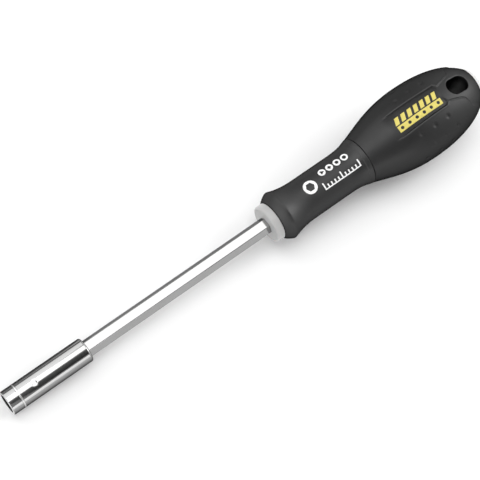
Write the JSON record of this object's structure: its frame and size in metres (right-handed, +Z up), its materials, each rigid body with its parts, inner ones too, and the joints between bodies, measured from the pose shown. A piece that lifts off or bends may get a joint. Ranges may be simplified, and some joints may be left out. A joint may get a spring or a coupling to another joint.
{
  "type": "bit holder screwdriver",
  "caption": "Screwdriver with a magnetic hexagon bit socket on a hexagon blade, and a soft-gripped handle with a hanging hole.",
  "frame": {"origin": "middle of the bit seat, the magnet face at the bottom of the bit bore", "axes": "+X along the tool from the bit to the butt of the handle, +Z up through the label panel, +Y to the left of a person who looks along +X"},
  "size_m": [0.2396, 0.034, 0.033],
  "materials": {
    "blade_chrome": "chromed, drawn hexagon bar",
    "socket_chrome": "polished chrome",
    "spring_steel": "bright spring wire",
    "magnet_nickel": "nickel-plated",
    "core_plastic": "light-grey moulded, satin",
    "neck_rubber": "soft black, fine matt",
    "palm_rubber": "soft black, fine matt",
    "cap_plastic": "pale grey moulded, satin"
  },
  "bodies": {
    "driver": {"blade": "blade_chrome", "bit_socket": "socket_chrome", "magnet": "magnet_nickel", "handle_core": "core_plastic", "neck_grip": "neck_rubber", "palm_grip": "palm_rubber", "end_cap": "cap_plastic"},
    "ring": {"retaining_ring": "spring_steel"}
  },
  "joints": [
    {"name": "retaining_ring_spin", "type": "hinge", "parent": "driver", "child": "ring", "pos_m": [-0.0054, 0, 0], "axis": [1, 0, 0], "continuous": true}
  ]
}
